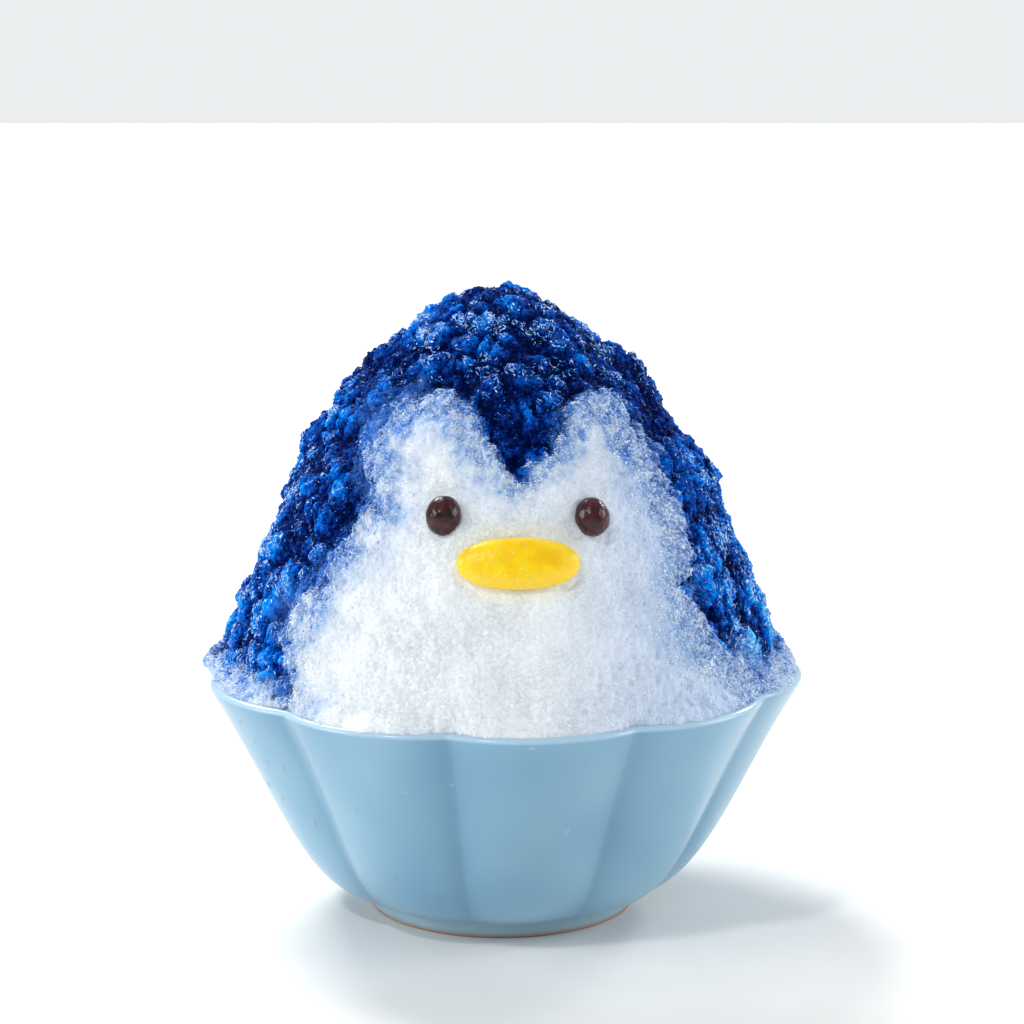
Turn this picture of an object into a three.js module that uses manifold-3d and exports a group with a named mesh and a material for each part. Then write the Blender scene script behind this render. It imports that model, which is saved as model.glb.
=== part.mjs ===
// Kakigori made up as a penguin: a tall heap of shaved ice in a lobed ceramic bowl.
// Blue syrup has soaked the ice over the head, the back and both sides. The face and
// belly stay white, with two bean-like beads for eyes and a slice of fruit for a beak.
// Millimetres, +Z up, the face towards -Y, the origin under the middle of the foot.

import * as THREE from 'three';
import { mergeVertices } from 'three/addons/utils/BufferGeometryUtils.js';
import { ImprovedNoise } from 'three/addons/math/ImprovedNoise.js';
import Module from 'manifold-3d';

const wasm = await Module();
wasm.setup();

const degrees = THREE.MathUtils.degToRad;
const v2 = ( x, y ) => new THREE.Vector2( x, y );

const CLEARANCE = 0.3; // between pieces that touch

// Bowl
const RIM_RADIUS = 75; // to the crown of a lobe
const RIM_HEIGHT = 61;
const FOOT_RADIUS = 33.2;
const FOOT_HEIGHT = 4.5;
const FOOT_RING = 4.2; // width of the ring that the bowl stands on
const FOOT_RECESS = 3.5;
const FOOT_EDGE = 0.6; // bevel of the ring
const WALL_START = v2( 35, 4.5 ); // a little wider than the foot
const WALL_BELLY = v2( 52, 7 ); // draws the round lower part of the wall out
const WALL_WAIST = v2( 57.5, 30.5 ); // and draws the flare towards the rim in
const WALL_AT_FOOT = 3.4; // thickness
const WALL_AT_RIM = 2.2;
const LOBES = 10;
const FIRST_CREASE = degrees( 26 ); // from the front towards +X
const CREASE_AT_FOOT = 0.5; // how far a crease lies inside the crown of the lobes
const CREASE_AT_RIM = 3.8;
const LOBE_FULLNESS = 0.65; // 1 is a plain wave, and lower values give fuller lobes

// Ice
const HEAP_TOP = 156;
const HEAP_RADIUS = 70; // just above the rim
const HEAP_SHOULDER = 26; // reach of the round top
const HEAP_WAIST = v2( 55, 116 ); // draws the side in between the top and the base
const HEAP_LEAN = - 1.2; // of the top, towards -X
const HEAP_LEAN_FROM = 125;
const SHOULDER_RISE = 5; // over which the heap leaves the lobes of the rim and turns round
const SYRUP_DEPTH = 6; // how deep the syrup has soaked in
const SYRUP_EDGE = 64.2; // lowest syrup, a little above the rim
const SYRUP_EDGE_TILT = 0.5; // higher towards +X
const SYRUP_EDGE_WAVE = 1.2; // its edge goes up and down by this
const SYRUP_EDGE_WAVES = 5; // round the heap
const SYRUP_EDGE_SHIFT = 1; // of those waves, in radians
const LUMP_SIZE = 13;
const LUMP_HEIGHT = 2.8;
const GRAIN_SIZE = 5.5;
const GRAIN_HEIGHT = 1.4;
const FACE_RELIEF = 0.5; // the share of that relief on the smoother face and belly
const FACE_RELIEF_FROM = 0.55; // calmer from here, as the cosine of the turn away from the front
const FACE_RELIEF_TO = 0.8; // and fully calm from here
const HEAP_MIDDLE = new THREE.Vector3( 0, 0, 70 ); // the relief grows away from here

// Face
const FACE_TURN = degrees( 4.4 ); // the face looks slightly towards +X
const EYE_HEIGHT = 108.1; // of the middle between both
const EYE_DROP = 0.4; // the right one sits lower and the left one higher by this
const EYE_SPACING = 34;
const EYE_SIZE = new THREE.Vector3( 8.2, 7.6, 9.4 ); // wide, deep, high
const EYE_PROUD = 0.9; // of the centre over the ice
const EYE_SQUARENESS = 2; // 2 is an ellipsoid, and more is squarer
const BEAK_HEIGHT = 98.4;
const BEAK_ASIDE = - 0.5; // of the middle of the face
const BEAK_SIZE = new THREE.Vector3( 28.4, 7.6, 12.2 );
const BEAK_PROUD = 0.3;
const BEAK_SQUARENESS = 2.2;

// Facets
const COLUMNS = 80; // round the bowl and the heap, a whole number for each lobe
const HIDDEN_COLUMNS = 40; // round the shapes that only cut the ice inside
const OUTSIDE_STEPS = 8; // up the outside of the bowl
const WALL_STEPS = 6; // up the inside of the bowl and the ice against it
const HEAP_STEPS = 23;
const HIDDEN_STEPS = 7;
const OUTLINE_STEPS = 2; // for each point of the face's outline
const BEAD_COLUMNS = 20;
const BEAD_ROWS = 12;

const CUT_REACH = RIM_RADIUS * 1.2; // of the shapes that only cut, past everything

const GLAZE = material( 0x8fbdd2, 0.32 );
const WHITE_ICE = material( 0xe9eef2, 0.6 );
const BLUE_ICE = material( 0x0c3f9e, 0.25 );
const BEAD = material( 0x3a1c1e, 0.35 );
const FRUIT = material( 0xf6c81c, 0.3 );

const noise = new ImprovedNoise();

function material( color, roughness ) {

	return new THREE.MeshStandardMaterial( { color, roughness, metalness: 0 } );

}

// ---------------------------------------------------------------- turned shapes

// A solid turned about Z. Each row is { r, z, crease, relief }: a row's radius shrinks by its
// crease between the lobes, and its relief says how far the ice's lumps show on it.
function turned( rows, columns = COLUMNS ) {

	const geometry = new THREE.LatheGeometry( rows.map( ( row ) => v2( row.r, row.z ) ), columns );
	const position = geometry.attributes.position;
	const point = new THREE.Vector3();
	for ( let column = 0; column <= columns; column ++ ) {

		const around = ( column % columns ) / columns * 2 * Math.PI;
		const turn = FIRST_CREASE + around;
		const fullness = Math.abs( Math.sin( around * LOBES / 2 ) ) ** LOBE_FULLNESS;
		rows.forEach( ( row, index ) => {

			const radius = row.r - ( row.crease ?? 0 ) * ( 1 - fullness );
			point.set( radius * Math.sin( turn ), - radius * Math.cos( turn ), row.z );
			if ( row.relief ) roughen( point, row.relief );
			position.setXYZ( column * rows.length + index, point.x, point.y, point.z );

		} );

	}

	return solid( geometry );

}

// Moves a point of the heap's surface out or in, by lumps of clumped ice and coarse grains,
// and lets the top lean.
function roughen( point, share ) {

	const at = ( size, shift ) => noise.noise( point.x / size + shift, point.y / size, point.z / size );
	const height = LUMP_HEIGHT * at( LUMP_SIZE, 0.5 ) + GRAIN_HEIGHT * at( GRAIN_SIZE, 7.5 );
	const forward = - point.y / Math.hypot( point.x, point.y, 1 );
	const facing = THREE.MathUtils.smoothstep( forward, FACE_RELIEF_FROM, FACE_RELIEF_TO );
	const calm = THREE.MathUtils.lerp( 1, FACE_RELIEF, facing );
	const outward = point.clone().sub( HEAP_MIDDLE ).normalize();
	point.addScaledVector( outward, height * share * calm );
	point.x += HEAP_LEAN * THREE.MathUtils.smoothstep( point.z, HEAP_LEAN_FROM, HEAP_TOP );

}

// ---------------------------------------------------------------- solids and meshes

function solid( geometry ) {

	geometry.deleteAttribute( 'normal' );
	geometry.deleteAttribute( 'uv' );
	const merged = mergeVertices( geometry );
	const corners = merged.index.array;
	const triangles = [];
	for ( let i = 0; i < corners.length; i += 3 ) {

		const [ a, b, c ] = corners.slice( i, i + 3 );
		if ( a !== b && b !== c && c !== a ) triangles.push( a, b, c );

	}

	return new wasm.Manifold( new wasm.Mesh( {
		numProp: 3,
		vertProperties: merged.attributes.position.array,
		triVerts: Uint32Array.from( triangles )
	} ) );

}

function mesh( name, shape, finish ) {

	const { vertProperties, triVerts } = shape.getMesh();
	const geometry = new THREE.BufferGeometry();
	geometry.setAttribute( 'position', new THREE.BufferAttribute( vertProperties, 3 ) );
	geometry.setIndex( new THREE.BufferAttribute( triVerts, 1 ) );
	geometry.computeVertexNormals();
	const piece = new THREE.Mesh( geometry, finish );
	piece.name = name;
	return piece;

}

// ---------------------------------------------------------------- bowl

// The outside of the wall in section, from the foot to the lip.
const wallCurve = new THREE.CubicBezierCurve(
	WALL_START,
	WALL_BELLY,
	WALL_WAIST,
	v2( RIM_RADIUS, RIM_HEIGHT - WALL_AT_RIM / 2 )
);

// A row on the wall at a share of its length, moved in by the wall's thickness and more.
function wallRow( share, walls, further = 0 ) {

	const at = wallCurve.getPoint( share );
	const along = wallCurve.getTangent( share );
	const inward = walls * THREE.MathUtils.lerp( WALL_AT_FOOT, WALL_AT_RIM, share ) + further;
	const crease = THREE.MathUtils.lerp( CREASE_AT_FOOT, CREASE_AT_RIM, Math.sin( share * Math.PI / 2 ) );
	return { r: at.x - inward * along.y, z: at.y + inward * along.x, crease };

}

function shares( count ) {

	return Array.from( { length: count + 1 }, ( _, i ) => i / count );

}

function bowl() {

	const outside = shares( OUTSIDE_STEPS ).map( ( share ) => wallRow( share, 0 ) );
	const inside = shares( WALL_STEPS ).map( ( share ) => wallRow( share, 1 ) ).reverse();
	const lipTop = { r: RIM_RADIUS - WALL_AT_RIM * 0.4, z: RIM_HEIGHT, crease: CREASE_AT_RIM };
	return turned( [
		{ r: 0, z: FOOT_RECESS },
		{ r: FOOT_RADIUS - FOOT_RING - FOOT_EDGE, z: FOOT_RECESS },
		{ r: FOOT_RADIUS - FOOT_RING, z: 0 },
		{ r: FOOT_RADIUS - FOOT_EDGE, z: 0 },
		{ r: FOOT_RADIUS, z: FOOT_EDGE },
		{ r: FOOT_RADIUS, z: FOOT_HEIGHT },
		...outside,
		lipTop,
		...inside,
		{ r: 0, z: inside.at( - 1 ).z }
	] );

}

// ---------------------------------------------------------------- ice

// The heap's side in section, from just above the rim to the top.
const heapCurve = new THREE.CubicBezierCurve(
	v2( HEAP_RADIUS, RIM_HEIGHT + 1 ),
	HEAP_WAIST,
	v2( HEAP_SHOULDER, HEAP_TOP ),
	v2( 0, HEAP_TOP )
);

// All of the ice: it fills the bowl and stands over the rim as a heap.
function allIce() {

	const inBowl = shares( WALL_STEPS ).map( ( share ) => wallRow( share, 1, CLEARANCE ) );
	const atRim = inBowl.at( - 1 );
	const overLip = { ...atRim, z: RIM_HEIGHT + CLEARANCE };
	const heap = shares( HEAP_STEPS ).map( ( share ) => {

		const at = heapCurve.getPoint( share );
		const round = THREE.MathUtils.smoothstep( at.y, overLip.z, overLip.z + SHOULDER_RISE );
		return {
			r: THREE.MathUtils.lerp( atRim.r, at.x, round ),
			z: at.y,
			crease: CREASE_AT_RIM * ( 1 - round ),
			relief: round
		};

	} );
	return turned( [ { r: 0, z: inBowl[ 0 ].z }, ...inBowl, overLip, ...heap ] );

}

// What the syrup hasn't reached inside the heap.
function dryCore( inset ) {

	const rows = shares( HIDDEN_STEPS ).map( ( share ) => {

		const at = heapCurve.getPoint( share );
		const fromMiddle = v2( at.x, at.y - HEAP_MIDDLE.z );
		fromMiddle.setLength( fromMiddle.length() - SYRUP_DEPTH - inset );
		return { r: Math.abs( fromMiddle.x ), z: fromMiddle.y + HEAP_MIDDLE.z };

	} );
	const foot = { r: rows[ 0 ].r, z: SYRUP_EDGE / 2 };
	return turned( [ { r: 0, z: foot.z }, foot, ...rows ], HIDDEN_COLUMNS );

}

// What lies under the syrup's lower edge.
function underSyrup( inset ) {

	const top = SYRUP_EDGE - inset;
	const slab = turned( [
		{ r: 0, z: - 1 },
		{ r: CUT_REACH, z: - 1 },
		{ r: CUT_REACH, z: top },
		{ r: 0, z: top }
	], HIDDEN_COLUMNS );
	return slab.warp( ( point ) => {

		const around = Math.atan2( point[ 0 ], - point[ 1 ] );
		const atEdge = point[ 2 ] > 0 && Math.hypot( point[ 0 ], point[ 1 ] ) > 1;
		const wave = SYRUP_EDGE_WAVE * Math.sin( SYRUP_EDGE_WAVES * around + SYRUP_EDGE_SHIFT );
		if ( atEdge ) point[ 2 ] += SYRUP_EDGE_TILT * Math.sin( around ) + wave;

	} );

}

// The white face and belly from the front, as a closed line of x and z: up the left side,
// over the left cheek, down to the tip on the forehead, and back down the right side.
const FACE_OUTLINE = [
	[ - 48, 50 ], [ - 50, 73 ], [ - 49, 82 ], [ - 43, 88 ], [ - 38, 96 ], [ - 32, 105 ], [ - 29, 111 ],
	[ - 32, 117 ], [ - 28, 126 ], [ - 20, 132 ], [ - 12, 132 ], [ - 7, 128 ], [ - 1, 120 ], [ 3, 115 ],
	[ 9, 119 ], [ 15, 127 ], [ 21, 132 ], [ 27, 130 ], [ 33, 122 ], [ 36, 114 ], [ 41, 106 ], [ 43, 97 ],
	[ 42, 90 ], [ 46, 82 ], [ 51, 74 ], [ 60, 67 ], [ 64, 50 ]
].map( ( [ x, z ] ) => v2( x, z ) );

// All that stands in front of the axis within the face's outline.
function faceBlock( inset ) {

	const line = new THREE.SplineCurve( FACE_OUTLINE ).getPoints( FACE_OUTLINE.length * OUTLINE_STEPS );
	const moved = line.map( ( at, i ) => {

		const before = line[ Math.max( i - 1, 0 ) ];
		const after = line[ Math.min( i + 1, line.length - 1 ) ];
		const along = after.clone().sub( before ).normalize();
		return v2( at.x + inset * along.y, at.y - inset * along.x );

	} );
	const block = new THREE.ExtrudeGeometry( new THREE.Shape( moved ), {
		depth: CUT_REACH,
		bevelEnabled: false
	} );
	return solid( block.rotateX( Math.PI / 2 ) );

}

// ---------------------------------------------------------------- face

// A rounded piece set in the front of the heap at a height and a distance from the middle of
// the face, facing straight out of the slope there.
function facePiece( size, squareness, across, height, proud, grow = 0 ) {

	const geometry = new THREE.SphereGeometry( 1, BEAD_COLUMNS, BEAD_ROWS );
	const position = geometry.attributes.position;
	const point = new THREE.Vector3();
	for ( let i = 0; i < position.count; i ++ ) {

		point.fromBufferAttribute( position, i );
		const length = [ ...point ].reduce( ( sum, x ) => sum + Math.abs( x ) ** squareness, 0 );
		point.multiplyScalar( length ** ( - 1 / squareness ) );
		position.setXYZ( i, ...point );

	}

	geometry.scale( size.x / 2 + grow, size.y / 2 + grow, size.z / 2 + grow );

	const share = shareAtHeight( height );
	const at = heapCurve.getPoint( share );
	const along = heapCurve.getTangent( share );
	const turn = FACE_TURN + Math.asin( across / at.x );
	geometry.rotateX( Math.atan2( along.x, along.y ) );
	geometry.translate( 0, - at.x - proud, height );
	geometry.rotateZ( turn );
	return solid( geometry );

}

function shareAtHeight( height ) {

	let low = 0;
	let high = 1;
	while ( high - low > 1e-6 ) {

		const middle = ( low + high ) / 2;
		if ( heapCurve.getPoint( middle ).y < height ) low = middle;
		else high = middle;

	}

	return low;

}

function eye( side, grow ) {

	const height = EYE_HEIGHT - side * EYE_DROP;
	return facePiece( EYE_SIZE, EYE_SQUARENESS, side * EYE_SPACING / 2, height, EYE_PROUD, grow );

}

function beak( grow ) {

	return facePiece( BEAK_SIZE, BEAK_SQUARENESS, BEAK_ASIDE, BEAK_HEIGHT, BEAK_PROUD, grow );

}

// ---------------------------------------------------------------- the whole

const ice = allIce();
const blueIce = ice.subtract( underSyrup( 0 ) ).subtract( faceBlock( 0 ) ).subtract( dryCore( 0 ) );
const dry = faceBlock( CLEARANCE ).add( dryCore( CLEARANCE ) ).add( underSyrup( CLEARANCE ) );
const whiteIce = ice.intersect( dry )
	.subtract( eye( - 1, CLEARANCE ) )
	.subtract( eye( 1, CLEARANCE ) )
	.subtract( beak( CLEARANCE ) );

const kakigori = new THREE.Group();
kakigori.add(
	mesh( 'bowl', bowl(), GLAZE ),
	mesh( 'white_ice', whiteIce, WHITE_ICE ),
	mesh( 'blue_ice', blueIce, BLUE_ICE ),
	mesh( 'eye_left', eye( - 1 ), BEAD ),
	mesh( 'eye_right', eye( 1 ), BEAD ),
	mesh( 'beak', beak(), FRUIT )
);

export default kakigori;
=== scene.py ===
"""Kakigori made up as a penguin: shaved ice soaked with blue syrup in a lobed bowl of pale blue porcelain.

Lengths are in millimetres here and turn into metres when a mesh is made. The face looks towards -Y, and an
angle round the bowl starts at the front and grows towards +X, as in the part's source.
"""

import math
from collections import namedtuple
from itertools import product

import bpy
import numpy as np
from mathutils import Matrix, Vector


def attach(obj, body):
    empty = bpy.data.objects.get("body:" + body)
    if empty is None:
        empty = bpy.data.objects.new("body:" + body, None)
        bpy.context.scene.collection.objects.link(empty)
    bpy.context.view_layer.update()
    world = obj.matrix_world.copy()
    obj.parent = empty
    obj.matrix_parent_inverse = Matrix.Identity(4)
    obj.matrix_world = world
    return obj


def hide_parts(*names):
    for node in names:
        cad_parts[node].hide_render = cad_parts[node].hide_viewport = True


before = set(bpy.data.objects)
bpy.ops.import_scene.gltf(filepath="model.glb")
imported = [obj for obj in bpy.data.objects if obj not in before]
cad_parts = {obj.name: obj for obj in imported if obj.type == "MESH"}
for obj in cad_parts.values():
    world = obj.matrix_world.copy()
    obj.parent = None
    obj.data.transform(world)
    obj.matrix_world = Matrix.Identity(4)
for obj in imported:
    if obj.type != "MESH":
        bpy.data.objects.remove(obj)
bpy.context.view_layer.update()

MM = 0.001
SEED = 20

# ---------- sizes shared with the part's source
RIM_RADIUS = 75.0
RIM_HEIGHT = 61.0
FOOT_RADIUS = 33.2
FOOT_HEIGHT = 4.5
FOOT_RING = 4.2
FOOT_RECESS = 3.5
WALL_BELLY = 52.0
WALL_WAIST = 57.5
WALL_AT_FOOT = 3.4
WALL_AT_RIM = 2.2
LOBES = 10
FIRST_CREASE = math.radians(26)
CREASE_AT_FOOT = 0.5
CREASE_AT_RIM = 3.8
LOBE_FULLNESS = 0.65
CLEARANCE = 0.3

HEAP_TOP = 156.0
HEAP_RADIUS = 70.0
HEAP_SHOULDER = 26.0
HEAP_WAIST = (55.0, 116.0)
HEAP_LEAN = -1.2
HEAP_LEAN_FROM = 125.0
SHOULDER_RISE = 5.0
SYRUP_EDGE = 64.2
SYRUP_EDGE_TILT = 0.5
SYRUP_EDGE_WAVE = 1.2
SYRUP_EDGE_WAVES = 5
SYRUP_EDGE_SHIFT = 1
FACE_OUTLINE = (
    (-48, 50), (-50, 73), (-49, 82), (-43, 88), (-38, 96), (-32, 105), (-29, 111),
    (-32, 117), (-28, 126), (-20, 132), (-12, 132), (-7, 128), (-1, 120), (3, 115),
    (9, 119), (15, 127), (21, 132), (27, 130), (33, 122), (36, 114), (41, 106), (43, 97),
    (42, 90), (46, 82), (51, 74), (60, 67), (64, 50),
)

FACE_TURN = math.radians(4.4)
EYE_HEIGHT = 108.1
EYE_DROP = 0.4
EYE_SPACING = 34.0
EYE_SIZE = (8.2, 7.6, 9.4)
EYE_PROUD = 0.9
BEAK_HEIGHT = 98.4
BEAK_ASIDE = -0.5
BEAK_SIZE = (28.4, 7.6, 12.2)
BEAK_SQUARENESS = 2.2
BEAK_PROUD = 0.3

WALL_CURVE = (
    (FOOT_RADIUS + 1.8, FOOT_HEIGHT),
    (WALL_BELLY, FOOT_HEIGHT + 2.5),
    (WALL_WAIST, RIM_HEIGHT / 2),
    (RIM_RADIUS, RIM_HEIGHT - WALL_AT_RIM / 2),
)
HEAP_CURVE = ((HEAP_RADIUS, RIM_HEIGHT + 1), HEAP_WAIST, (HEAP_SHOULDER, HEAP_TOP), (0.0, HEAP_TOP))

# ---------- numbers


def lerp(low, high, share):
    return low + (high - low) * share


def smoothstep(value, low, high):
    share = np.clip((value - low) / (high - low), 0, 1)
    return share * share * (3 - 2 * share)


def unit(vectors):
    return vectors / np.maximum(np.linalg.norm(vectors, axis=1, keepdims=True), 1e-12)


def pairs(first, second):
    """Every pair of two arrays' numbers, as two arrays."""
    return (numbers.ravel() for numbers in np.meshgrid(first, second, indexing="ij"))


def bezier(corners, shares):
    """Points and unit tangents of a cubic curve at some shares of its length, as two arrays of (r, z)."""
    a, b, c, d = (np.array(corner, float) for corner in corners)
    t = np.asarray(shares, float)[:, None]
    s = 1 - t
    at = s**3 * a + 3 * s * s * t * b + 3 * s * t * t * c + t**3 * d
    along = 3 * s * s * (b - a) + 6 * s * t * (c - b) + 3 * t * t * (d - c)
    return at, unit(along)


class Noise:
    """Seeded noise over an array of points, one value a point."""

    def __init__(self, seed):
        rng = np.random.default_rng(seed)
        self.order = rng.permutation(256)
        self.slopes = unit(rng.normal(size=(256, 3)))
        self.spots = rng.random((256, 3))

    def number(self, cell):
        x, y, z = cell[:, 0] & 255, cell[:, 1] & 255, cell[:, 2] & 255
        return self.order[(self.order[(self.order[x] + y) & 255] + z) & 255]

    def waves(self, points, size):
        """Smooth lumps of a size, from about -1 to 1."""
        scaled = points / size
        cell = np.floor(scaled).astype(int)
        inside = scaled - cell
        fade = inside**3 * (inside * (inside * 6 - 15) + 10)
        total = np.zeros(len(points))
        for corner in product((0, 1), repeat=3):
            slope = self.slopes[self.number(cell + corner)]
            weight = np.prod(np.where(corner, fade, 1 - fade), axis=1)
            total += weight * ((inside - corner) * slope).sum(axis=1)
        return total * 1.6

    def layers(self, points, layers):
        """Lumps of several kinds on each other, each with a strength, a size and a shift of its pattern."""
        return sum(strength * self.waves(points + shift, size) for strength, size, shift in layers)

    def ridges(self, points, size):
        """Lumps of a size with sharp creases, level with 0 on the whole."""
        return np.abs(self.waves(points, size)) - 0.28

    def clumps(self, points, size):
        """Packed rounded clumps of a size: the distance to the nearest middle, the lead over the next one,
        and a random number from 0 to 1 for each clump."""
        scaled = points / size
        cell = np.floor(scaled).astype(int)
        first = np.full(len(points), np.inf)
        second = np.full(len(points), np.inf)
        name = np.zeros(len(points), int)
        for offset in product((-1, 0, 1), repeat=3):
            at = cell + offset
            number = self.number(at)
            gap = np.linalg.norm(at + self.spots[number] - scaled, axis=1)
            closer = gap < first
            second = np.where(closer, first, np.minimum(second, gap))
            first = np.where(closer, gap, first)
            name = np.where(closer, number, name)
        return first, second - first, name / 255


noise = Noise(SEED)

# ---------- meshes


def mesh_object(name, points, faces, finish, smooth=True, values=None):
    """An object from points in millimetres and faces, which are one array or several of them. values are
    named numbers, one a point, for the material to read."""
    groups = faces if isinstance(faces, list) else [faces]
    sizes = np.concatenate([np.full(len(g), g.shape[1]) for g in groups])
    corners = np.concatenate([g.ravel() for g in groups])
    mesh = bpy.data.meshes.new(name)
    mesh.vertices.add(len(points))
    mesh.vertices.foreach_set("co", (points * MM).astype(np.float32).ravel())
    mesh.loops.add(len(corners))
    mesh.loops.foreach_set("vertex_index", corners.astype(np.int32))
    mesh.polygons.add(len(sizes))
    mesh.polygons.foreach_set("loop_start", (np.cumsum(sizes) - sizes).astype(np.int32))
    mesh.polygons.foreach_set("use_smooth", np.full(len(sizes), smooth))
    mesh.update(calc_edges=True)
    mesh.validate()
    for key, numbers in (values or {}).items():
        layer = mesh.attributes.new(key, "FLOAT", "POINT")
        layer.data.foreach_set("value", np.asarray(numbers, np.float32))
    mesh.materials.append(finish)
    piece = bpy.data.objects.new(name, mesh)
    bpy.context.scene.collection.objects.link(piece)
    return piece


def finished(piece, slot, *nodes):
    """Makes a piece part of the object: it rides on the bowl's body and may stand for CAD nodes."""
    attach(piece, "root")
    if nodes:
        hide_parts(*nodes)
    return piece


def normals(points, faces):
    """The unit normal at each point of a mesh of quads."""
    a, b, c, d = (points[faces[:, i]] for i in range(4))
    across = np.cross(c - a, d - b)
    total = np.zeros_like(points)
    for side in range(4):
        for axis in range(3):
            total[:, axis] += np.bincount(faces[:, side], across[:, axis], len(points))
    return unit(total)


def tube_faces(rows, columns):
    """The quads between rows of points that each go round once, from the bottom row to the top."""
    row, column = pairs(np.arange(rows - 1) * columns, np.arange(columns))
    after = (column + 1) % columns
    above = row + columns
    return np.column_stack([row + column, row + after, above + after, above + column])


# ---------- materials


class Finish:
    """A material around one Principled shader, whose sockets' names have _ for a space here. scattering is
    how many millimetres red, green and blue light go inside."""

    def __init__(self, name, scattering=None, **sockets):
        self.material = bpy.data.materials.new(name)
        self.material.use_nodes = True
        self.tree = self.material.node_tree
        self.shader = self.tree.nodes["Principled BSDF"]
        if scattering:
            radius = [far * MM for far in scattering]
            sockets.update(Subsurface_Scale=1.0, Subsurface_Radius=radius)
        for key, value in sockets.items():
            self.shader.inputs[key.replace("_", " ")].default_value = value

    def add(self, kind, inputs=None, **settings):
        made = self.tree.nodes.new("ShaderNode" + kind)
        for key, value in settings.items():
            setattr(made, key, value)
        for key, value in (inputs or {}).items():
            self.feed(made.inputs[key], value)
        return made

    def feed(self, socket, value):
        if isinstance(value, bpy.types.NodeSocket):
            self.tree.links.new(value, socket)
        else:
            socket.default_value = value

    def value(self, name):
        return self.add("Attribute", attribute_name=name).outputs["Fac"]

    def pattern(self, kind, size, **inputs):
        """The outputs of a pattern whose size is in millimetres."""
        place = self.add("TexCoord").outputs["Object"]
        return self.add(kind, {"Vector": place, "Scale": 1 / (size * MM), **inputs}).outputs

    def grain(self, size, detail=2.0, roughness=0.5):
        """Noise from about 0.3 to 0.7."""
        return self.pattern("TexNoise", size, Detail=detail, Roughness=roughness)["Fac"]

    def range(self, value, low, high, start=0.0, end=1.0):
        inputs = {0: value, 1: low, 2: high, 3: start, 4: end}
        return self.add("MapRange", inputs).outputs[0]

    def math(self, operation, a, b):
        return self.add("Math", {0: a, 1: b}, operation=operation).outputs[0]

    def mix(self, share, a, b):
        return self.add("Mix", {0: share, 6: a, 7: b}, data_type="RGBA").outputs[2]

    def ramp_mix(self, share, start, middle, end):
        """From one colour over a second to a third."""
        first = self.mix(self.range(share, 0, 0.5), start, middle)
        return self.mix(self.range(share, 0.5, 1), first, end)

    def ramp(self, value, *stops):
        made = self.add("ValToRGB", {0: value})
        elements = made.color_ramp.elements
        for position, colour in stops[2:]:
            elements.new(position)
        for element, (position, colour) in zip(elements, sorted(stops)):
            element.position, element.color = position, colour
        return made.outputs[0]

    def patches(self, size, detail, dark, light):
        """Soft patches of two colours, of a size in millimetres."""
        return self.mix(self.range(self.grain(size, detail), 0.35, 0.65), dark, light)

    def bump(self, height, distance):
        normal = self.add("Bump", {"Height": height, "Distance": distance * MM}).outputs[0]
        self.feed(self.shader.inputs["Normal"], normal)

    def painted(self, colour):
        """The material, once it has its base colour."""
        self.feed(self.shader.inputs["Base Color"], colour)
        return self.material


def rgb(red, green, blue):
    """A shader colour from the 0 to 255 of a screen colour."""
    linear = [((c / 255 + 0.055) / 1.055) ** 2.4 if c > 10 else c / 255 / 12.92 for c in (red, green, blue)]
    return (*linear, 1.0)


# The syrup's colours from dark to light, which the painted tone picks: dark for painted shade in crevices,
# light for painted highlights on crests and grains.
SYRUP_TONES = (
    (0.0, rgb(0, 10, 62)), (0.2, rgb(0, 36, 118)), (0.4, rgb(0, 82, 184)),
    (0.6, rgb(0, 128, 232)), (0.8, rgb(20, 168, 248)), (1.0, rgb(110, 204, 252)),
)
SYRUP_TONE_SCALE = 0.75


def glaze():
    made = Finish("glaze", IOR=1.5, Coat_Weight=0.25, Coat_Roughness=0.12)
    even = made.mix(made.grain(25, 1), rgb(106, 156, 190), rgb(139, 183, 204))
    # Painted shade: the glaze is painted darker in the creases between the lobes.
    body = made.mix(made.value("painted_crease_shade"), even, rgb(68, 120, 156))
    # Painted highlight: the lip is painted lighter, for the light along its top.
    lip = made.mix(made.value("lip"), body, rgb(168, 200, 222))
    foot = made.mix(made.value("foot"), lip, rgb(152, 186, 200))
    bare = made.value("bare")
    roughness = made.range(made.grain(30, 1), 0, 1, 0.27, 0.33)
    made.feed(made.shader.inputs["Roughness"], made.math("MAXIMUM", roughness, bare))
    return made.painted(made.mix(bare, foot, rgb(170, 120, 78)))


def snow():
    made = Finish("snow", (1.2, 1.3, 1.5), Roughness=0.35, IOR=1.31, Subsurface_Weight=0.5)
    patches = made.patches(14, 2, rgb(206, 214, 219), rgb(227, 233, 238))
    white = made.mix(made.range(made.grain(0.8, 3, 0.7), 0.4, 0.75), patches, rgb(248, 250, 253))
    # Syrup seeped into the ice, and painted shade that makes its right side bluer.
    seeped = made.ramp_mix(made.value("seep_and_shade"), white, rgb(142, 176, 221), rgb(50, 118, 208))
    made.bump(made.grain(0.7, 3, 0.6), 0.22)
    return made.painted(made.mix(made.value("stain"), seeped, rgb(252, 244, 200)))


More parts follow.
